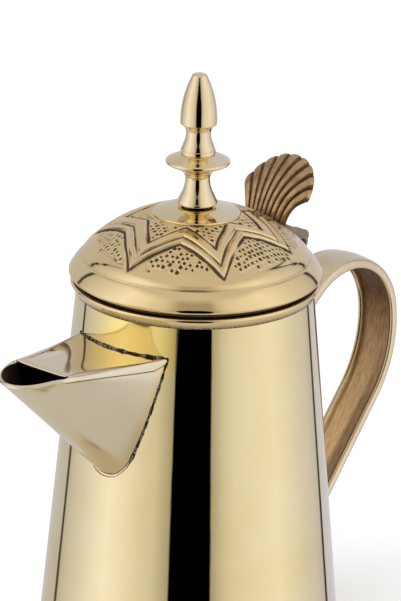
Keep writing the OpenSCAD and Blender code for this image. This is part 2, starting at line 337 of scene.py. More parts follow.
def body_brass():
    """The wall's polished brass, with a painted golden reflection of the spout on the wall over it."""
    n = Surface("body_brass")
    colour = n.blotches(n.noise(34, 4), 0.35, 0.7, BRASS, BRASS_DEEP)
    x, y, z = n.parts(n.where)
    # In metres: a patch over the spout, from its near corner to its middle, where the spout's golden
    # reflection is painted
    across = n.maths("MULTIPLY", n.spread(y, -0.0275, -0.0262), n.spread(y, 0.014, -0.003))
    above = n.spread(z, 0.124, 0.129)
    tint = n.maths("MULTIPLY", n.maths("MULTIPLY", across, above), n.spread(x, -0.02, -0.03))
    colour = n.mix(tint, colour, SPOUT_REFLECTION_GOLD)
    roughness = n.spread(n.noise(60, 5, (1, 1, 0.3)), 0.3, 0.75, 0.018, 0.05)
    roughness = n.maths("ADD", roughness, n.maths("MULTIPLY", tint, 0.06))
    return n.finish(colour, roughness, n.ripples(0.14, 18))


def turned_brass():
    """Lathe-turned brass: polished, with fine rings from the tool."""
    n = Surface("turned_brass")
    colour = n.blotches(n.noise(50, 4), 0.35, 0.7, (0.86, 0.71, 0.46), (0.80, 0.62, 0.37))
    roughness = n.spread(n.noise(120, 4), 0.3, 0.7, 0.05, 0.13)
    normal = n.bump(n.noise(260, 3, (0.02, 0.02, 6.0)), 0.16, 0.0001)
    return n.finish(colour, roughness, n.bump(n.noise(90, 2), 0.12, 0.0003, normal))


def handle_brass():
    """Satin brass; the hollow inside is golden low down, brown and brushed at its top and near side."""
    n = Surface("handle_brass")
    inside = n.attribute("patina_and_shade")
    brush = n.noise(220, 5, (1, 5, 1), 0.6)
    brown = n.blotches(brush, 0.32, 0.7, (0.20, 0.105, 0.052), (0.08, 0.04, 0.022))
    golden = n.blotches(brush, 0.32, 0.7, (0.80, 0.52, 0.26), (0.56, 0.33, 0.14))
    skin = n.blotches(n.noise(30, 4, (1, 0.4, 1), 0.55), 0.35, 0.7, (0.80, 0.66, 0.45),
                      (0.70, 0.54, 0.35))
    x, y, z = n.parts(n.where)
    upper = n.spread(z, 0.055, 0.115)
    near_side = n.spread(y, -0.0005, -0.003, 0.0, 0.7)
    hollow = n.mix(n.maths("MAXIMUM", upper, near_side), golden, brown)
    colour = n.mix(n.maths("MINIMUM", n.maths("MULTIPLY", inside, 1.4), 1.0), skin, hollow)
    roughness = n.spread(n.noise(160, 5, (1, 4, 1)), 0.3, 0.7, 0.10, 0.19)
    roughness = n.maths("ADD", roughness, n.maths("MULTIPLY", inside, 0.22))
    normal = n.bump(n.noise(500, 4, (1, 0.12, 1)), 0.12, 0.00025)
    return n.finish(colour, roughness, n.bump(n.noise(55, 3), 0.2, 0.0007, normal))


def antique_brass():
    """Cast brass, brown in its grooves and rubbed bright on its ridges."""
    n = Surface("antique_brass")
    grain = n.noise(240, 6, rough=0.65)
    rubbed = n.blotches(grain, 0.35, 0.68, (0.60, 0.39, 0.18), (0.38, 0.22, 0.09))
    dark = n.blotches(n.noise(500, 4), 0.3, 0.7, (0.16, 0.085, 0.045), (0.05, 0.028, 0.018))
    groove = n.maths("ADD", n.attribute("patina_and_shade"), n.spread(grain, 0.3, 0.7, -0.14, 0.14))
    groove = n.spread(groove, 0.22, 0.62)
    roughness = n.spread(groove, 0.0, 1.0, 0.26, 0.5)
    metallic = n.spread(groove, 0.0, 1.0, 1.0, 0.55)
    return n.finish(n.mix(groove, rubbed, dark), roughness, n.bump(grain, 0.35, 0.0002), metallic)


def solder_metal():
    """Grey solder: lumpy, pitted and dull, with bright specks where it was filed."""
    n = Surface("solder")
    grain = n.noise(1500, 4, rough=0.7)
    colour = n.blotches(grain, 0.42, 0.66, (0.055, 0.04, 0.032), (0.60, 0.55, 0.50))
    colour = n.blotches(n.noise(700, 3), 0.47, 0.56, (0.035, 0.024, 0.02), colour)
    return n.finish(colour, n.spread(grain, 0.3, 0.7, 0.55, 0.25),
                    n.bump(n.noise(1100, 5), 0.9, 0.0004))


def floor_white():
    """Plain matt white, faintly uneven."""
    n = Surface("floor_white")
    colour = n.mix(n.noise(3, 2), (0.86, 0.86, 0.86), (0.8557, 0.8557, 0.8514))
    return n.finish(colour, n.spread(n.noise(40, 2), 0, 1, 0.85, 0.95), metallic=0.0, glow=0.16)


POLISHED = polished_brass("polished_brass")
BODY_BRASS = body_brass()
SPOUT_BRASS = polished_brass("spout_brass", 0.2, 30.0, 0.13, True, (0.80, 0.70, 0.53),
                             (0.76, 0.65, 0.47))
PLATE_BRASS = polished_brass("plate_brass", 0.25, 40.0, 0.05, False, (0.84, 0.72, 0.50),
                             (0.80, 0.67, 0.44))
RIM = polished_brass("rim_brass", 0.3, 60.0, 0.05, True, LID_BRASS, LID_DEEP)
CHASED = polished_brass("chased_brass", 0.35, 60.0, 0.06, True, LID_BRASS, LID_DEEP)
TURNED = turned_brass()
HANDLE = handle_brass()
ANTIQUE = antique_brass()
ANTIQUE_FOOT = polished_brass("antique_foot", 0.5, 220.0, 0.3, False, (0.42, 0.26, 0.12),
                              (0.13, 0.07, 0.035))
# Painted shade: near-black brass for the inside of the spout's sheets and the underside of its plate.
SHADED_INSIDE = polished_brass("painted_shade_inside", 0.5, 140.0, 0.5, False, (0.030, 0.018, 0.012),
                         (0.012, 0.007, 0.005))
LEAF_BRASS = polished_brass("leaf_brass", 0.35, 120.0, 0.2, False, (0.42, 0.32, 0.23),
                            (0.16, 0.11, 0.075))
PIN_BRASS = polished_brass("pin_brass", 0.5, 400.0, 0.35, False, (0.10, 0.065, 0.04),
                           (0.04, 0.025, 0.018))
SOLDER = solder_metal()


# ---------- body ----------
def make_body():
    """The conical wall with its pouring holes."""
    inner = [(wall(z) - SHEET, z) for z in np.linspace(BEAD_Z, FOOT_Z, 24)]
    outer = [(wall(z), z) for z in np.linspace(FOOT_Z, BEAD_Z, 24)]
    body = lathe("pot_wall", outer + inner, 320)
    drill_pouring_holes(body)
    place(body, "pot", "polished_brass", BODY_BRASS, "body_shell")


def make_rim():
    """The flared band round the mouth, with painted shade in the corner under it."""
    mouth = wall(BEAD_Z) - SHEET
    lip = [(wall(BEAD_Z) + 0.4, BEAD_Z)] + arc((LIP_R - 0.9, TOP - 0.9), 0.9, -30, 90, 12)
    lip += arc((mouth + 0.6, TOP - 0.6), 0.6, 90, 180, 6) + [(mouth, BEAD_Z)]
    lip = soften(lip, 0.3)
    # Painted shade: the lower outside of the roll is darkened towards near-black.
    painted_shade = 0.75 * ease(-lip[:, 1], 2.9 - TOP, 4.0 - TOP) * (lip[:, 0] > mouth + 1)
    place(lathe("rim_roll", lip, 320, painted_shade), "pot", "polished_brass", RIM, "rim_bead")


def make_foot():
    """The half-round ring the pot stands on, and the turned bottom plate."""
    centre = FOOT_Z / 2
    foot_r = wall(FOOT_Z)
    ring = arc((foot_r, centre), centre, -88, 88, 20)
    ring += [(foot_r - 4, FOOT_Z), (foot_r - 4, 0)]
    place(lathe("foot_roll", soften(ring, 0.4), 320), "pot", "polished_brass", POLISHED,
          "foot_ring")
    rings = [(r, FOOT_Z + 0.12 * math.sin(r)) for r in np.linspace(0.1, foot_r - 2, 90)]
    rim = [(foot_r - SHEET, FOOT_Z), (foot_r - SHEET - 0.1, FOOT_Z + SHEET)]
    outline = [(0.02, FOOT_Z)] + rings + rim + [(0.02, FOOT_Z + SHEET)]
    place(lathe("base_disc", outline, 192), "pot", "polished_brass", TURNED, "base_plate")


HOLE_D = 6.0
HOLE_ROWS = 4
HOLE_STEPS = 28


def drill_pouring_holes(body):
    """Cuts the triangle of holes that lets the coffee into the spout."""
    pitch = HOLE_D * 1.5
    n = HOLE_STEPS
    verts, faces = [], []
    for row in range(HOLE_ROWS):
        for k in range(HOLE_ROWS - row):
            y = (k - (HOLE_ROWS - 1 - row) / 2) * pitch
            z = TOP - SPOUT_DROP - pitch * (1 + row * 0.9)
            base = len(verts)
            for x in (-WALL_TOP - 12, -WALL_TOP + 12):
                for a in np.linspace(0, 2 * math.pi, n, endpoint=False):
                    verts.append((x, y + HOLE_D / 2 * math.cos(a), z + HOLE_D / 2 * math.sin(a)))
            faces += grid_faces(2, n, wrap_cols=True, base=base)
            faces += [tuple(base + i for i in cap) for cap in two_caps(n, 2 * n)]
    drill = flip_if_inside_out(mesh_object("drill", turn_spout(verts), faces))
    cut = body.modifiers.new("holes", "BOOLEAN")
    cut.operation, cut.object, cut.solver = "DIFFERENCE", drill, "EXACT"
    graph = bpy.context.evaluated_depsgraph_get()
    made = bpy.data.meshes.new_from_object(body.evaluated_get(graph))
    body.modifiers.clear()
    body.data = made
    made.set_sharp_from_angle(angle=math.radians(30))
    bpy.data.objects.remove(drill)


# ---------- spout ----------
SPOUT_TURN = math.radians(4.2)
SPOUT_DROP = 16.0
SPOUT_TOP = TOP - SPOUT_DROP
MOUTH_X = 85.2
MOUTH_HALF = 13.0
MOUTH_RISE = 4.0
LIP_FALL = 2.0
SPOUT_REACH = 103.6
SPOUT_SWELL = 0.4
ROOT_SINK = 0.9
LIP_STEPS = 401
EDGE_STEPS, SIDE_STEPS, TURN_STEPS = 40, 92, 8
# The edge of the sheet is folded back on itself: where along the spout, and how far it laps down
LAP_AT = [0.0, 0.12, 0.3, 0.5, 0.75, 0.95, 1.0]
LAP_DEEP = [1.6, 3.9, 3.5, 2.9, 2.3, 1.9, 1.7]
LAP_STEP = 0.25
# Half of the soldered root from the top corner down: half-width and depth below the top
ROOT_LINE = [(21.0, 0.0), (20.2, 4.5), (19.2, 9.9), (16.5, 21.7), (13.7, 31.8), (9.9, 42.2),
             (5.8, 47.0), (2.8, 48.5), (0.0, 48.9)]


def turn_spout(points):
    """Points of the spout's own frame, turned about the pot's axis to where it is soldered on."""
    p = np.asarray(points, float)
    c, s = math.cos(SPOUT_TURN), math.sin(SPOUT_TURN)
    return np.stack([p[:, 0] * c - p[:, 1] * s, p[:, 0] * s + p[:, 1] * c, p[:, 2]], -1)


def root_curve(n):
    """Points of the spout's root on the wall, from the far top corner round the toe."""
    half = spline(ROOT_LINE, n)
    y = np.concatenate([half[:, 0], -half[-2::-1, 0]])
    z = SPOUT_TOP - np.concatenate([half[:, 1], half[-2::-1, 1]])
    return y, z


def on_wall(y, z, depth=0.0):
    """Points on the spout side of the wall, sunk by depth."""
    r = wall(z) - depth
    return np.stack([-np.sqrt(np.maximum(r * r - y * y, 0)), y, z], -1)


def lip_curve(n):
    """Points of the open lip, from the far mouth corner round the tip."""
    a = np.radians(90 - 180 * np.linspace(0, 1, n))
    out = np.cos(a)
    return np.stack([-MOUTH_X - (SPOUT_REACH - MOUTH_X) * out, MOUTH_HALF * np.sin(a),
                     SPOUT_TOP + MOUTH_RISE - LIP_FALL * out], -1)


def spout_rows(steps):
    """Rulings of the folded sheet, from the root to the lip: rows of points from edge to edge."""
    y, z = root_curve(12)
    root = on_wall(y, z, ROOT_SINK)
    q = np.linspace(0, 1, len(root))
    # The rulings bunch towards the tip so that the sides stay nearly flat
    bunch = 0.5 + 0.5 * np.sign(q - 0.5) * np.abs(2 * q - 1) ** 1.6
    lip = resample(lip_curve(LIP_STEPS), np.linspace(0, 1, LIP_STEPS), bunch)
    t = np.linspace(0, 1, steps)[:, None, None]
    rows = (1 - t) * root[None] + t * lip[None]
    side = np.sin(np.pi * np.abs(2 * q - 1)) ** 1.2
    swell = (4 * t * (1 - t))[..., 0] * side[None] * SPOUT_SWELL
    rows[..., 1] += swell * np.sign(0.5 - q)[None]
    return rows


def fold_size(t):
    """How broadly the sheet turns over at its top edge, from the root to the mouth."""
    return 0.9 + 2.3 * ease(t, 0.0, 0.75) - 1.2 * ease(t, 0.85, 1.0)


def drop_below(points, start, end):
    """How far points lie from the straight line of the spout's folded edge."""
    along = (end - start) / np.linalg.norm(end - start)
    return np.linalg.norm(np.cross(points - start, along), axis=1)


def spout_row(row, t, ends):
    """One ruling with its two edges turned in, and the distance of its points from the lap."""
    length = np.concatenate([[0], np.cumsum(np.linalg.norm(np.diff(row, axis=0), axis=1))])
    size = fold_size(t)
    edge = size + np.linspace(0, 5.5, EDGE_STEPS)
    side = np.linspace(edge[-1], length[-1] - edge[-1], SIDE_STEPS)[1:-1]
    middle = resample(row, length, np.concatenate([edge, side, length[-1] - edge[::-1]]))
    far = row[0] + np.array([0.0, -size, 0.0])
    near = row[-1] + np.array([0.0, size, 0.0])
    w = np.linspace(0, 1, TURN_STEPS + 1)[:-1, None]
    turn_in = (1 - w) ** 2 * far + 2 * w * (1 - w) * row[0] + w * w * middle[0]
    turn_out = ((1 - w) ** 2 * near + 2 * w * (1 - w) * row[-1] + w * w * middle[-1])[::-1]
    half = len(middle) // 2
    turned_in = np.full(TURN_STEPS, -2.0)
    lap = np.concatenate([drop_below(middle[:half], *ends[0]), drop_below(middle[half:], *ends[1])])
    lap = np.concatenate([turned_in, lap - np.interp(t, LAP_AT, LAP_DEEP), turned_in])
    return np.concatenate([turn_in, middle, turn_out]), lap, (far, near)


def make_spout():
    """The folded sheet, its plate and the solder round its root."""
    steps = 91
    rows = spout_rows(steps)
    ends = [(rows[0][k], rows[-1][k]) for k in (0, -1)]
    made = [spout_row(row, t, ends) for row, t in zip(rows, np.linspace(0, 1, steps))]
    skins, laps, edges = zip(*made)
    skin, lap = np.array(skins), np.array(laps)
    # The lap thins out into the lip
    step = LAP_STEP * (1 - ease(np.linspace(0, 1, steps), 0.84, 0.95))
    lift = step[:, None] * (1 - ease(lap, -0.16, 0.16))
    skin[..., 1] += lift * np.sign(skin[..., 1])
    # Painted shade: a dark line just below the edge of the lapped fold, fading out into the lip.
    line = 0.9 * np.exp(-((lap - 0.18) / 0.2) ** 2) * (step / LAP_STEP)[:, None]
    obj = mesh_object("spout_sheet", turn_spout(skin.reshape(-1, 3)), grid_faces(*skin.shape[:2]),
                      line)
    finish_sheet(obj, "spout_trough", SPOUT_BRASS)
    shift = step[:, None] * np.array([0, 1, 0])
    make_spout_cover([(far + k, near - k) for (far, near), k in zip(edges, shift)])
    make_seam()


def finish_sheet(obj, node, skin):
    """Thickness, softened edges and a near-black inside, painted shade, for one sheet of the spout."""
    thick = obj.modifiers.new("sheet", "SOLIDIFY")
    thick.thickness, thick.offset = SHEET * MM, -1
    thick.material_offset = 1
    thick.material_offset_rim = 0
    soft_edges(obj, 0.35, 2, 50)
    place(obj, "pot", "polished_brass", skin, node)
    obj.data.materials.append(SHADED_INSIDE)


PLATE_DIP = 2.6


def make_spout_cover(seams):
    """The plate that closes the spout's top: dished between the folds, rising to the mouth."""
    verts = []
    steps, wide = len(seams), 61
    tuck = np.array([0, 0.15, 0])
    for i, (far, near) in enumerate(seams):
        t = i / (steps - 1)
        for s in np.linspace(0, 1, wide):
            p = (1 - s) * (near - tuck) + s * (far + tuck)
            root = on_wall(p[1:2], np.array([SPOUT_TOP]), ROOT_SINK)[0]
            p[0] = (1 - t) * root[0] + t * -MOUTH_X
            across = 1 - abs(2 * s - 1) ** 6
            p[2] -= 0.04 + (PLATE_DIP * t * (1 - t) + 0.5 * ease(t, 0.94, 1.0)) * across
            verts.append(p)
    obj = mesh_object("spout_plate", turn_spout(verts), grid_faces(steps, wide))
    flip_to(obj, Vector((0, 0, 1)))
    finish_sheet(obj, "spout_cover", PLATE_BRASS)


def flip_to(obj, way):
    """Turns an open sheet's faces to a side."""
    total = Vector((0, 0, 0))
    for face in obj.data.polygons:
        total += face.normal * face.area
    if total.dot(way) < 0:
        obj.data.flip_normals()


BEAD_FLAT = 0.6
BEAD_STEPS = 14


def bead_along(name, path, radius, seed, lump=0.35):
    """A lumpy solder bead along a path of points, flatter away from the wall."""
    path = np.asarray(path, float)
    along = np.gradient(path, axis=0)
    along /= np.linalg.norm(along, axis=1)[:, None]
    out = path * np.array([1, 1, 0])
    out /= np.linalg.norm(out, axis=1)[:, None]
    side = np.cross(along, out)
    side /= np.linalg.norm(side, axis=1)[:, None]
    n = BEAD_STEPS
    verts = []
    for a in np.linspace(0, 2 * math.pi, n, endpoint=False):
        verts.append(path + radius * (math.cos(a) * side + BEAD_FLAT * math.sin(a) * out))
    flat_points = np.stack(verts, 1).reshape(-1, 3)
    bulge = 1 + lump * lumps(flat_points, 4.6, seed, 4)[:, None]
    centre = np.repeat(path, n, 0)
    verts = centre + (flat_points - centre) * bulge
    faces = grid_faces(len(path), n, wrap_cols=True) + two_caps(n, len(verts))
    return flip_if_inside_out(mesh_object(name, verts, faces))


SEAM_R = 0.5
# The seam thins out round the toe: how far below the top it starts to, and is thinnest
THIN_FROM, THIN_TO = 38, 46


def make_seam():
    """Solder round the spout's root: up both sides, round the toe and along the plate."""
    y, z = root_curve(60)
    loop = on_wall(y, z, -0.1)
    top_y = np.linspace(loop[-1][1], loop[0][1], 300)[1:-1]
    top = on_wall(top_y, np.full(len(top_y), SPOUT_TOP + 0.25), -0.1)
    path = dense(turn_spout(np.vstack([loop, top, loop[:1]])), 0.3)
    depth = SPOUT_TOP - path[:, 2]
    size = SEAM_R * (1 - 0.75 * ease(depth, THIN_FROM, THIN_TO)) * (1 + 0.25 * lumps(path, 14, 5, 2))
    obj = bead_along("spout_seam", path, size[:, None], 3, 0.5)
    place(obj, "pot", "solder", SOLDER, "spout_solder")


# ---------- handle ----------
STRAP_T = 4.8
CROWN = 1.2
UPPER_R = 31.8
LOWER_R = 49.4
TURN_MID, TURN_ROOT, TURN_LEG = 10.0, 132.0, -38.7
UPPER_C = np.array([81.0, TOP - 41.5])
LOWER_C = UPPER_C - (LOWER_R - UPPER_R) * np.array(
    [math.cos(math.radians(TURN_MID)), math.sin(math.radians(TURN_MID))])


def strap_section():
    """Outline of the strap: (offset outward, across), with how deep in the hollow each point is."""
    h = STRAP_W / 2
    outer = [(-0.9 - CROWN, -h), (-CROWN * 0.72, -h * 0.86), (-CROWN * 0.3, -h * 0.55),
             (0, 0), (-CROWN * 0.3, h * 0.55), (-CROWN * 0.72, h * 0.86), (-0.9 - CROWN, h)]
    rim = [(-STRAP_T + 0.7, h), (-STRAP_T, h - 0.75), (-STRAP_T + 0.35, h - 1.5)]
    hollow = [(-3.2, h - 2.6), (-2.75, h - 4.2), (-2.6, 0), (-2.75, 4.2 - h), (-3.2, 2.6 - h)]
    pts = outer + rim + hollow + [(o, -a) for o, a in rim[::-1]]
    pts = spline(pts, 5, closed=True)
    depth = ease(pts[:, 0], -STRAP_T + 0.1, -3.3) * (np.abs(pts[:, 1]) < h - 1.0)
    inner = np.arange(len(pts)) >= 5 * 8
    return pts, depth * inner


def strap_frames():
    """Centre, radius and angle at each step along both bends."""
    upper = np.radians(np.linspace(TURN_ROOT, TURN_MID, 60))
    lower = np.radians(np.linspace(TURN_MID, TURN_LEG, 50))[1:]
    return [(UPPER_C, UPPER_R, a) for a in upper] + [(LOWER_C, LOWER_R, a) for a in lower]


def leg_points(centre, radius, angle, way, section, steps):
    """Straight leg from a bend to the wall, each point stopping inside the sheet."""
    out = np.array([math.cos(angle), math.sin(angle)])
    go = way * np.array([-math.sin(angle), math.cos(angle)])
    start = centre + (radius + section[:, :1]) * out
    y = section[:, 1]
    low, high = np.zeros(len(section)), np.full(len(section), 95.0)
    for _ in range(40):
        mid = (low + high) / 2
        p = start + mid[:, None] * go
        inside = np.hypot(p[:, 0], y) < wall(p[:, 1]) - 0.7
        high, low = np.where(inside, mid, high), np.where(inside, low, mid)
    rows = []
    for t in np.linspace(0, 1, steps)[1:]:
        p = start + (t * low)[:, None] * go
        rows.append(np.stack([p[:, 0], y, p[:, 1]], -1))
    return rows


def make_handle():
    """The cast strap through both bends, its two legs and the solder where they end."""
    section, depth = strap_section()
    rows = []
    for centre, radius, a in strap_frames():
        p = centre + (radius + section[:, :1]) * np.array([math.cos(a), math.sin(a)])
        rows.append(np.stack([p[:, 0], section[:, 1], p[:, 1]], -1))
    top = leg_points(UPPER_C, UPPER_R, math.radians(TURN_ROOT), 1, section, 16)
    low = leg_points(LOWER_C, LOWER_R, math.radians(TURN_LEG), -1, section, 50)
    rows = top[::-1] + rows + low
    verts = np.array(rows)
    n = verts.shape[1]
    flat_points = verts.reshape(-1, 3)
    # Hand-filed unevenness
    filed = 0.08 * lumps(flat_points, 24, 11, 2)[:, None] * np.array([1, 0, 1])
    flat_points = flat_points + filed - np.array([0.07, 0, 0])
    faces = grid_faces(len(rows), n, wrap_cols=True) + two_caps(n, len(flat_points))
    obj = mesh_object("strap", flat_points, faces, np.tile(depth, len(rows)))
    flip_if_inside_out(obj)
    place(obj, "pot", "handle_brass", HANDLE, "handle_strap")
    for name, rows_end, seed, node in (("strap_joint_top", top[-1], 21, "handle_solder_upper"),
                                       ("strap_joint_foot", low[-1], 22, "handle_solder_lower")):
        loop = on_outside(rows_end)
        loop = np.vstack([loop, loop[:1]])
        place(bead_along(name, dense(loop, 0.5), 0.75, seed), "pot", "solder", SOLDER, node)


def on_outside(points):
    """The same points pushed out to the wall's outer face."""
    r = np.hypot(points[:, 0], points[:, 1])
    k = (wall(points[:, 2]) + 0.15) / r
    return points * np.stack([k, k, np.ones_like(k)], -1)


def resample(points, at, wanted):
    """Points read off a line at wanted places, given where its own points are."""
    return np.stack([np.interp(wanted, at, points[:, k]) for k in range(3)], -1)


def dense(path, step):
    """The path resampled evenly."""
    s = np.concatenate([[0], np.cumsum(np.linalg.norm(np.diff(path, axis=0), axis=1))])
    return resample(path, s, np.linspace(0, s[-1], max(8, int(s[-1] / step))))


# ---------- lid ----------
DOME_R = 62.0
CROWN_Z = 27.7
DOME_C = CROWN_Z - DOME_R
STUD_R = 2.05
BOSS_R = 16.4
SEAT = 2.4
# The six-pointed star: angle and radius of the tips and of the corners between them
TIPS = [(185, 40.0), (238, 40.2), (293, 38.0), (351, 39.4), (56, 39.6), (121, 39.2)]
CORNERS = [(210.5, 26.6), (268, 25.0), (323, 27.0), (24, 27.5), (88, 28.0), (154, 28.6)]
# How far each chased line sits inside the first: at the tips and at the corners
LINES = [(0.0, 0.0), (5.0, 3.9), (11.8, 9.2)]


def on_star(inset):
    """Corner points of one chased zigzag line."""
    pts = []
    for pair in zip(TIPS, CORNERS):
        for (angle, radius), inward in zip(pair, inset):
            a = math.radians(angle)
            pts.append(((radius - inward) * math.cos(a), (radius - inward) * math.sin(a)))
    return np.array(pts)


def line_distance(xy, line):
    """Signed distance from a closed zigzag, positive outside it."""
    best = np.full(len(xy), 1e9)
    inside = np.zeros(len(xy), bool)
    for a, b in zip(line, np.roll(line, -1, 0)):
        ab = b - a
        t = np.clip(((xy - a) @ ab) / (ab @ ab), 0, 1)
        best = np.minimum(best, np.linalg.norm(xy - a - t[:, None] * ab, axis=1))
        cross = (a[1] > xy[:, 1]) != (b[1] > xy[:, 1])
        at = a[0] + (xy[:, 1] - a[1]) / (ab[1] if abs(ab[1]) > 1e-9 else 1e-9) * ab[0]
        inside ^= cross & (xy[:, 0] < at)
    return np.where(inside, -best, best)


PUNCH_PITCH = 2.05
PUNCH_R = 0.78


def punch_marks(outer, inner):
    """Centres of the punch marks in the triangles outside and inside the zigzag."""
    pts = []
    row_pitch = PUNCH_PITCH * 0.9
    rows = int(90 / row_pitch)
    for i in range(rows):
        for j in range(rows):
            x = (j - rows / 2 + 0.5 * (i % 2)) * PUNCH_PITCH
            pts.append((x, (i - rows / 2) * row_pitch))
    pts = np.array(pts) + RNG.normal(scale=0.17, size=(len(pts), 2))
    r = np.hypot(pts[:, 0], pts[:, 1])
    out = (line_distance(pts, outer) > 1.0) & (r < 37.4 + RNG.normal(scale=0.7, size=len(pts)))
    within = (line_distance(pts, inner) < -1.0) & (r > BOSS_R + 0.9)
    keep = (out | within) & (RNG.random(len(pts)) > 0.05)
    return pts[keep]


def nearest(xy, centres, reach):
    """Distance from each point to the nearest centre, no more than reach."""
    best = np.full(len(xy), reach)
    which = np.zeros(len(xy), int)
    order = np.argsort(centres[:, 0])
    c = centres[order]
    for k in range(len(c)):
        near = np.abs(xy[:, 0] - c[k, 0]) < reach
        d = np.hypot(xy[near, 0] - c[k, 0], xy[near, 1] - c[k, 1])
        idx = np.nonzero(near)[0]
        closer = d < best[idx]
        best[idx[closer]] = d[closer]
        which[idx[closer]] = order[k]
    return best, which


# The width of each chased line, and how dark it is
LINE_WIDTH = (0.72, 0.5, 0.7)
LINE_DARK = (1.0, 0.85, 1.0)


def chase_star(r, d, uneven, work):
    """The zigzag stands proud, each of its two bands softly rounded between the cut lines."""
    field = (d[0] < 0) & (d[2] > 0)
    band = np.minimum(np.minimum(np.abs(d[0]), np.abs(d[1])), np.abs(d[2]))
    height = np.where(field, 0.42 * ease(band, 0.0, 1.5), 0.0)
    height -= 0.25 * ease(-np.abs(r - 29), -11.5, -9.5) * (~field)
    dark = np.zeros_like(r)
    for away, width, tint in zip(d, LINE_WIDTH, LINE_DARK):
        groove = np.exp(-(np.abs(away) / width) ** 2)
        height -= groove * 0.5 * uneven * work
        dark = np.maximum(dark, ease(groove * uneven, 0.25, 0.7) * tint)
    thin = np.exp(-((np.abs(d[1]) - 0.95) / 0.16) ** 2) * (d[1] > 0) * field
    return height - thin * 0.14, np.maximum(dark, thin * 0.55)


def chase(x, y):
    """Height of the chasing at points of the lid, and how dark the work leaves it."""
    xy = np.stack([x, y], -1)
    flat = np.stack([x, y, 0 * x], -1)
    wander = np.stack([lumps(flat, 17, seed, 2) for seed in (31, 32)], -1) * 0.35
    r = np.hypot(x, y)
    stars = [on_star(inset) for inset in LINES]
    d = [line_distance(xy + wander, star) for star in stars]
    work = ease(r, BOSS_R - 0.2, BOSS_R + 0.6) * (1 - ease(r, 40.4, 41.6))
    uneven = 0.8 + 0.35 * lumps(flat, 9, 33, 2)
    height, dark = chase_star(r, d, uneven, work)
    marks = punch_marks(stars[0], stars[2])
    away, which = nearest(xy, marks, 1.5)
    size = PUNCH_R * RNG.uniform(0.7, 1.15, len(marks))[which]
    pit = 1 - ease(away / size, 0.45, 1.1)
    lip = np.exp(-((away - size * 1.25) / 0.28) ** 2)
    height += (lip * 0.2 - pit * 0.5) * work
    dark = np.maximum(dark, np.minimum(1, pit * 1.3))
    between = 0.16 * (d[0] > 0.8) * (r < 38.5) + 0.16 * (d[2] < -0.8)
    dark = np.maximum(dark, between * ease(away, 0.6, 1.0))
    return height * work, dark * work


def dome_height(r, thick=0.0):
    """Height of the dome at a radius, or of its inside for a sheet so thick."""
    return math.sqrt((DOME_R - thick) ** 2 - r * r) + DOME_C


BELT_R = 41.3
EDGE_TURN = 1.4
BAND_R = 47.7
# The cove: where it leaves the belt, its radius, and the angles it turns through
COVE_TOP = (43.3, 9.2)
COVE_R = 20
COVE_START, COVE_END = 47, 31


def lid_profile():
    """Outer face of the lid from the stud down over belt, cove and flange, as points."""
    rs = np.concatenate([np.linspace(STUD_R, BOSS_R - 1, 14), np.arange(BOSS_R - 0.8, BELT_R, 0.2)])
    pts = [(r, dome_height(r)) for r in rs]
    belt = [(BELT_R, dome_height(BELT_R)), (42.0, 11.15), (42.55, 10.4), (42.9, 9.9),
            (43.05, 9.5), (43.13, 9.2), (43.3, 9.05)]
    pts += curve(belt, 5)
    start = math.radians(COVE_START)
    centre = (COVE_TOP[0] - COVE_R * math.cos(start), COVE_TOP[1] - COVE_R * math.sin(start))
    pts += arc(centre, COVE_R, COVE_START - 1, COVE_END, 16)
    pts += arc((BAND_R - EDGE_TURN, 3.1), EDGE_TURN, 28, -78, 16)
    return pts


def make_lid():
    """The spun lid with its chased dome, with painted shade in the cove and under the edge."""
    face = lid_profile()
    inside = [(46.2, 1.9), (45.4, SEAT), (44.2, SEAT), (44.2, 6.4), (40.6, 8.6)]
    inside += [(r, dome_height(r, 1.2)) for r in np.linspace(39.5, STUD_R, 30)]
    prof = np.array(face + inside)
    steps = 900
    r, z = np.repeat(prof[:, 0], steps), np.repeat(prof[:, 1], steps)
    a = np.tile(np.linspace(0, 2 * math.pi, steps, endpoint=False), len(prof))
    x, y = r * np.cos(a), r * np.sin(a)
    top = len(face) * steps
    height, dark = chase(x[:top], y[:top])
    up = np.stack([x[:top], y[:top], z[:top] - DOME_C], -1)
    up /= np.linalg.norm(up, axis=1)[:, None]
    verts = np.stack([x, y, z + TOP], -1)
    verts[:top] += up * height[:, None]
    patina_and_shade = np.zeros(len(verts))
    # Painted shade: a faint dark ring along the cove and a dark band under the lid's edge, added to the
    # dark of the chased lines and pits.
    cove = np.exp(-((r[:top] - 43.0) / 0.3) ** 2)
    under = ease(-z[:top], -1.95, -1.7)
    patina_and_shade[:top] = np.maximum(dark, np.maximum(cove * 0.3, under * 0.9))
    faces = grid_faces(len(prof), steps, wrap_rows=True, wrap_cols=True)
    obj = flip_if_inside_out(mesh_object("lid_shell", verts, faces, patina_and_shade))
    place(obj, "lid", "chased_brass", CHASED, "lid_dome")


def make_collar():
    """The seat and skirt that centre the lid in the mouth."""
    skirt = wall(BEAD_Z) - SHEET - 1.3
    outline = [(skirt - SHEET, -5), (skirt, -5), (skirt, 0.3), (45.2, 0.3), (45.2, SEAT),
               (skirt - SHEET, SEAT)]
    pts = soften(outline, 0.35)
    # Painted shade: the seat's outer rim, in the gap between lid and rim, is darkened towards
    # near-black.
    painted_shade = ease(pts[:, 0], 43.5, 44.6)
    place(lathe("lid_skirt", pts + np.array([0, TOP]), 256, painted_shade), "lid", "polished_brass", RIM,
          "lid_collar")


BOSS_TOP = 29.0
BOSS_DOME_R = 48.6


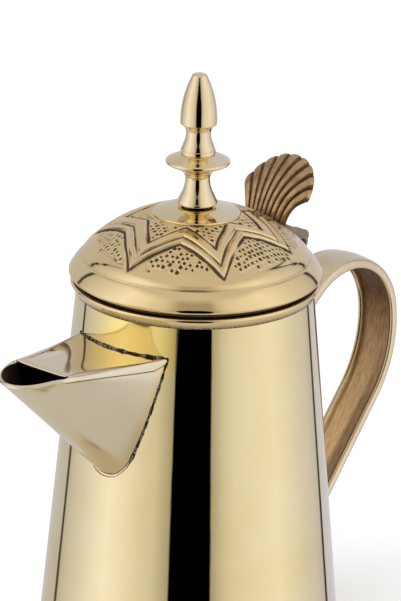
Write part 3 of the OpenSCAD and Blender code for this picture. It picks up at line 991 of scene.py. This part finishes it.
def make_boss():
    """The smooth domed disc that carries the finial, with a rolled edge."""
    face = arc((0, BOSS_TOP - BOSS_DOME_R), BOSS_DOME_R, 80.5, 71, 30)
    edge = [(16.35, 26.2), (16.6, 25.9), (16.5, 25.6), (15.8, 25.6)]
    under = [(r, dome_height(r) - 0.1) for r in np.linspace(15, STUD_R, 10)]
    pts = np.array([(STUD_R, 28.4)] + face + edge + under) + np.array([0, TOP])
    obj = flip_if_inside_out(lathe("boss_disc", pts, 256))
    place(obj, "lid", "polished_brass", POLISHED, "lid_boss")


# ---------- finial ----------
def turned(name, points, node):
    """A turned piece of the finial, from an outline in heights above the rim."""
    obj = flip_if_inside_out(lathe(name, np.array(points) + np.array([0, TOP]), 160))
    place(obj, "lid", "turned_brass", TURNED, node)


def bored(points):
    """The outline closed along the stud's hole."""
    return [(STUD_R, points[0][1])] + points + [(STUD_R, points[-1][1])]


def make_finial():
    """The flared foot, the thick disc and the spire, from the bottom up."""
    base = [(5.6, 28.4), (6.2, 28.9)] + arc((6.85, 29.95), 0.75, -60, 45, 8)
    base += curve([(7.3, 30.7), (6.35, 32.7), (5.4, 34.7), (4.87, 36.7), (4.66, 38.7),
                   (5.05, 40.6), (6.3, 42.2)], 6)
    turned("finial_foot", bored(base), "finial_base")
    disc = curve([(6.3, 42.2), (7.8, 43.1), (9.6, 44.0), (11.2, 44.7)], 4)
    disc += arc((11.2, 45.6), 0.9, -70, 70, 12)
    disc += curve([(11.4, 46.5), (9.9, 47.2), (8.3, 47.9), (6.9, 48.5)], 6)
    turned("finial_plate", bored(disc), "finial_disc")
    spire = soften([(0.02, 48.5), (6.5, 48.5), (6.6, 50.3), (0.02, 50.6)], 0.35)
    spire = [tuple(p) for p in spire if p[0] > 6]
    spire += curve([(6.35, 50.5), (5.85, 52.0), (5.1, 53.8), (4.72, 55.6), (4.85, 57.5),
                    (5.4, 58.9), (6.0, 59.5)], 6)
    spire += arc((6.15, 60.45), 0.75, -40, 10, 6)
    spire += arc((-30.2, 61.3), 37.1, 0.5, 26.5, 24)
    spire += [(2.75, 78.55), (2.3, 78.85), (1.2, 78.9), (0.02, 78.9)]
    spire = [(STUD_R, 48.5)] + spire + [(0.02, 70), (STUD_R, 70)]
    turned("finial_ogive", spire, "finial_spire")


# ---------- thumbpiece ----------
RIBS = 9
SHELL_T = 1.9


def shell_skin(u, t):
    """Point of the scallop's face: u across it from -1 to 1, t from its foot to its edge."""
    c, s = np.cos(np.pi * u / 2), np.sin(np.pi * u / 2)
    foot = np.stack([36 + 2 * u * u, 9.5 * u, 12.5 - 1.9 * u * u], -1)
    low = np.stack([38.6 + 0.4 * u * u, 10.2 * u, 23 - 5 * u * u], -1)
    high = np.stack([44.5 - 4.3 * u * u, 12.6 * u, 30.2 - 7 * u * u], -1)
    edge = np.stack([44.8 + 11.5 * c, 16.2 * s, 23.9 + 12.3 * c], -1)
    t = t[..., None]
    return ((1 - t) ** 3 * foot + 3 * (1 - t) ** 2 * t * low + 3 * (1 - t) * t * t * high
            + t ** 3 * edge)


def shell_out(u, t):
    """Direction in which the ribs rise from the face."""
    return np.stack([-0.93 + 0.4 * t, 0.4 * u, 0.36 + 0.4 * t], -1)


def make_thumbpiece():
    """The ribbed scallop, dark between its ribs."""
    across, along = RIBS * 18 + 1, 72
    u = np.linspace(-1, 1, across)[None, :] + np.zeros((along, 1))
    t = np.linspace(0, 1, along)[:, None] + np.zeros((1, across))
    part = (u + 1) / 2 * RIBS % 1.0
    arch = np.sqrt(np.clip(1 - np.abs(2 * part - 1) ** 2.2, 0, 1))
    wobble = 0.10 * lumps(shell_skin(u, t).reshape(-1, 3), 7, 41, 2).reshape(u.shape)
    rise = (0.35 + 1.05 * t) * (arch + wobble) * (1 - 0.55 * ease(t, 0.94, 1.0))
    front = shell_skin(u, t * (0.985 + 0.015 * arch)) + rise[..., None] * shell_out(u, t)
    thin = SHELL_T * (1 - 0.45 * ease(t, 0.8, 1.0)) * (1 - 0.5 * ease(np.abs(u), 0.93, 1.0))
    back = shell_skin(u, t * 0.985) - thin[..., None] * shell_out(u, t)
    loop = np.concatenate([front, back[::-1]], 0)
    rows = loop.shape[0]
    faces = grid_faces(rows, across, wrap_rows=True)
    for j, turn in ((0, False), (across - 1, True)):
        for i in range(along - 1):
            a, b = i * across + j, (i + 1) * across + j
            c, d = (rows - 2 - i) * across + j, (rows - 1 - i) * across + j
            faces.append((a, d, c, b) if turn else (a, b, c, d))
    groove = 1 - ease(arch, 0.62, 0.99)
    groove = np.maximum(groove, 0.6 * (1 - ease(t, 0.12, 0.3)))
    patina_and_shade = np.concatenate([groove, np.full(groove.shape, 0.45)], 0)
    obj = mesh_object("shell_grip", loop.reshape(-1, 3) + np.array([0, 0, TOP]), faces, patina_and_shade,
                      sharp=60)
    flip_if_inside_out(obj)
    place(obj, "lid", "antique_brass", ANTIQUE, "thumbpiece")


def make_shell_foot():
    """The cast foot between the back of the scallop and the leaf."""
    half = 5.6
    outline = [(37.4, 11.0), (37.8, 16.2), (39.6, 17.6), (41.5, 16.6), (45.0, 13.0), (45.0, 9.0)]
    outline = soften(outline, 1.2) + np.array([0, TOP])
    n = len(outline)
    verts = [(x, y, z) for y in (-half, half) for x, z in outline]
    faces = two_caps(n, 2 * n)
    faces += [(i, i + n, (i + 1) % n + n, (i + 1) % n) for i in range(n)]
    obj = flip_if_inside_out(mesh_object("shell_foot", verts, faces, sharp=35))
    soft_edges(obj, 1.0, 3, 40)
    place(obj, "lid", "antique_brass", ANTIQUE_FOOT)


# ---------- pieces shown as the CAD made them ----------
def dress_cad_nodes():
    """Their materials, and soft edges for the hinge."""
    looks = {"hinge_bracket": POLISHED, "hinge_leaf": LEAF_BRASS, "hinge_pin": PIN_BRASS,
             "finial_stud": TURNED, "finial_washer": TURNED, "finial_nut": TURNED}
    for name, material in looks.items():
        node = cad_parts[name]
        node.data.materials.clear()
        node.data.materials.append(material)
        if name.startswith("hinge"):
            soft_edges(node, 0.25, 2, 50)


# ---------- studio and camera ----------
CAM_AZ, CAM_EL = -47.0, 19.3
CAM_DISTANCE = 1000.0
CAM_ROLL = 1.2
# How far the aim point is from the middle of the picture, in degrees to the left and downward
CAM_LEFT, CAM_DOWN = 0.1078, -0.5066
LENS = 159.2


def direction(azimuth, elevation):
    """Unit vector towards a place seen from the pot."""
    a, e = math.radians(azimuth), math.radians(elevation)
    return Vector((math.sin(a) * math.cos(e), -math.cos(a) * math.cos(e), math.sin(e)))


def make_camera():
    """The camera, rolled a little and aimed beside the middle of the pot's mouth."""
    data = bpy.data.cameras.new("camera")
    data.sensor_width = 36
    data.lens = LENS
    cam = bpy.data.objects.new("camera", data)
    back = direction(CAM_AZ, CAM_EL)
    a = math.radians(CAM_AZ)
    right = Vector((math.cos(a), math.sin(a), 0))
    up = back.cross(right)
    roll = math.radians(CAM_ROLL)
    right, up = (right * math.cos(roll) + up * math.sin(roll),
                 up * math.cos(roll) - right * math.sin(roll))
    look = -back + right * math.tan(math.radians(CAM_LEFT)) + up * math.tan(math.radians(CAM_DOWN))
    look.normalize()
    up = (up - look * up.dot(look)).normalized()
    eye = Vector((0, 0, TOP)) * MM + back * CAM_DISTANCE * MM
    turned_axes = Matrix((look.cross(up), up, -look)).transposed()
    cam.matrix_world = Matrix.Translation(eye) @ turned_axes.to_4x4()
    bpy.context.scene.collection.objects.link(cam)
    bpy.context.scene.camera = cam


# The white tent round the pot, from behind it on the camera's left, past the camera, to behind it
# on the right: degrees from the camera's side, brightness, and how cool the light is
TENT_WALL = [(-180, 0.62, 1.0), (-129, 0.6, 1.0), (-127.6, 0.02, 0.0), (-125.4, 0.02, 0.0),
             (-124, 0.58, 1.0), (-112, 0.72, 0.8), (-98, 0.84, 0.6), (-84, 1.0, 0.5),
             (-71, 1.12, 0.4), (-56, 1.03, 0.2), (-42, 0.88, 0.1), (-30, 0.78, 0.0),
             (-16, 0.45, 0.0), (16, 0.45, 0.0), (26, 0.74, 0.0), (36, 0.87, 0.0), (52, 0.95, 0.0),
             (75, 1.03, 0.1), (90, 0.93, 0.3), (104, 0.82, 0.7), (120, 0.72, 1.2),
             (132.6, 0.6, 1.4), (134.2, 0.02, 0.0), (137.0, 0.02, 0.0), (138.4, 0.68, 2.0),
             (180, 0.66, 1.6)]
TENT_TOP, TENT_LOW = 0.70, 0.66
# Half the width of the dark gap the camera looks through, low down and at its top, in degrees
SLIT_HALF, SLIT_NARROW = 15.4, 7.5
SLIT_FOOT, SLIT_WIDEST, SLIT_HEAD = -50, 8, 37
FLOOR_HALF = 6000
KEY_SIZE, KEY_POWER = 0.9, 6


def tone(value, cool):
    """Colour of the tent at a brightness: warmer where it is dim, bluer where it is cool."""
    return value, value ** 1.05 * (1 + 0.03 * cool), value ** 1.25 * (1 + 0.22 * cool)


def wall_light(n, around):
    """The tent wall's colour by direction, in radians from the camera's side."""
    ramp = n.add("ShaderNodeValToRGB")
    n.link(n.spread(around, -math.pi, math.pi), ramp.inputs[0])
    marks = ramp.color_ramp.elements
    for k, (angle, value, cool) in enumerate(TENT_WALL):
        position = (angle + 180) / 360
        mark = marks[k] if k < 2 else marks.new(position)
        mark.position = position
        mark.color = (*tone(value, cool), 1)
    return ramp.outputs["Color"]


def tent_light():
    """The tent's own light: walls by direction, roof, table and the dark slit by the camera."""
    n = Tree("tent_wall")
    turn = n.add("ShaderNodeMapping", vector_type="NORMAL")
    turn.inputs["Rotation"].default_value = (0, 0, math.radians(-CAM_AZ))
    n.link(n.where, turn.inputs["Vector"])
    x, y, z = n.parts(turn.outputs[0])
    around = n.maths("ARCTAN2", x, n.maths("MULTIPLY", y, -1.0))
    height = n.maths("ARCSINE", z)

    def past(low, high):
        return n.spread(height, math.radians(low), math.radians(high), kind="SMOOTHSTEP")

    colour = n.mix(past(46, 60), wall_light(n, around), tone(TENT_TOP, 0.45))
    colour = n.mix(past(-30, -42), colour, tone(TENT_LOW, 0.2))
    half = n.spread(height, math.radians(SLIT_WIDEST), math.radians(SLIT_HEAD),
                    math.radians(SLIT_HALF), math.radians(SLIT_NARROW))
    beyond = n.maths("SUBTRACT", n.maths("ABSOLUTE", around), half)
    slit = n.spread(beyond, 0.03, 0.0, kind="SMOOTHSTEP")
    slit = n.maths("MULTIPLY", slit, past(SLIT_HEAD + 1, SLIT_HEAD - 1))
    slit = n.maths("MULTIPLY", slit, past(SLIT_FOOT - 4, SLIT_FOOT + 4))
    light = n.add("ShaderNodeEmission")
    n.link(n.mix(slit, colour, (0, 0, 0)), light.inputs["Color"])
    n.link(light.outputs[0], n.tree.nodes["Material Output"].inputs["Surface"])
    n.tree.nodes.remove(n.tree.nodes["Principled BSDF"])
    return n.mat


def hide_from(obj, *kinds):
    """Takes a stage piece out of some kinds of light ray."""
    for kind in kinds:
        setattr(obj, "visible_" + kind, False)


def make_tent():
    """A big ball round the set that only the polished metal sees."""
    bpy.ops.mesh.primitive_uv_sphere_add(segments=96, ring_count=48, radius=4.0,
                                         location=(0, 0, 0.11))
    tent = bpy.context.object
    tent.name = "tent"
    tent.data.materials.append(tent_light())
    hide_from(tent, "camera", "diffuse", "shadow", "transmission", "volume_scatter")


def make_studio():
    """A white room, a white floor, the tent and one soft lamp."""
    scene = bpy.context.scene
    scene.view_settings.view_transform = "Standard"
    world = bpy.data.worlds.new("white_room")
    world.use_nodes = True
    sky = world.node_tree.nodes["Background"]
    sky.inputs["Color"].default_value = (1.0, 1.0, 1.0, 1)
    sky.inputs["Strength"].default_value = 0.98
    scene.world = world
    corners = [(x * FLOOR_HALF, y * FLOOR_HALF, -0.05) for x, y in ((-1, -1), (1, -1), (1, 1), (-1, 1))]
    floor = mesh_object("floor", corners, [(0, 1, 2, 3)])
    floor.data.materials.append(floor_white())
    hide_from(floor, "glossy")
    make_tent()

    key = bpy.data.lights.new("key", "AREA")
    key.shape, key.size, key.size_y = "RECTANGLE", KEY_SIZE, KEY_SIZE
    key.energy = KEY_POWER
    lamp = bpy.data.objects.new("key", key)
    spot = direction(CAM_AZ - 60, 55) * 1.5
    lamp.location = spot + Vector((0, 0, 0.1))
    lamp.rotation_mode = "QUATERNION"
    lamp.rotation_quaternion = spot.to_track_quat("Z", "Y")
    scene.collection.objects.link(lamp)
    hide_from(lamp, "glossy")


make_body()
make_rim()
make_foot()
make_spout()
make_handle()
make_lid()
make_collar()
make_boss()
make_finial()
make_thumbpiece()
make_shell_foot()
dress_cad_nodes()
make_studio()
make_camera()
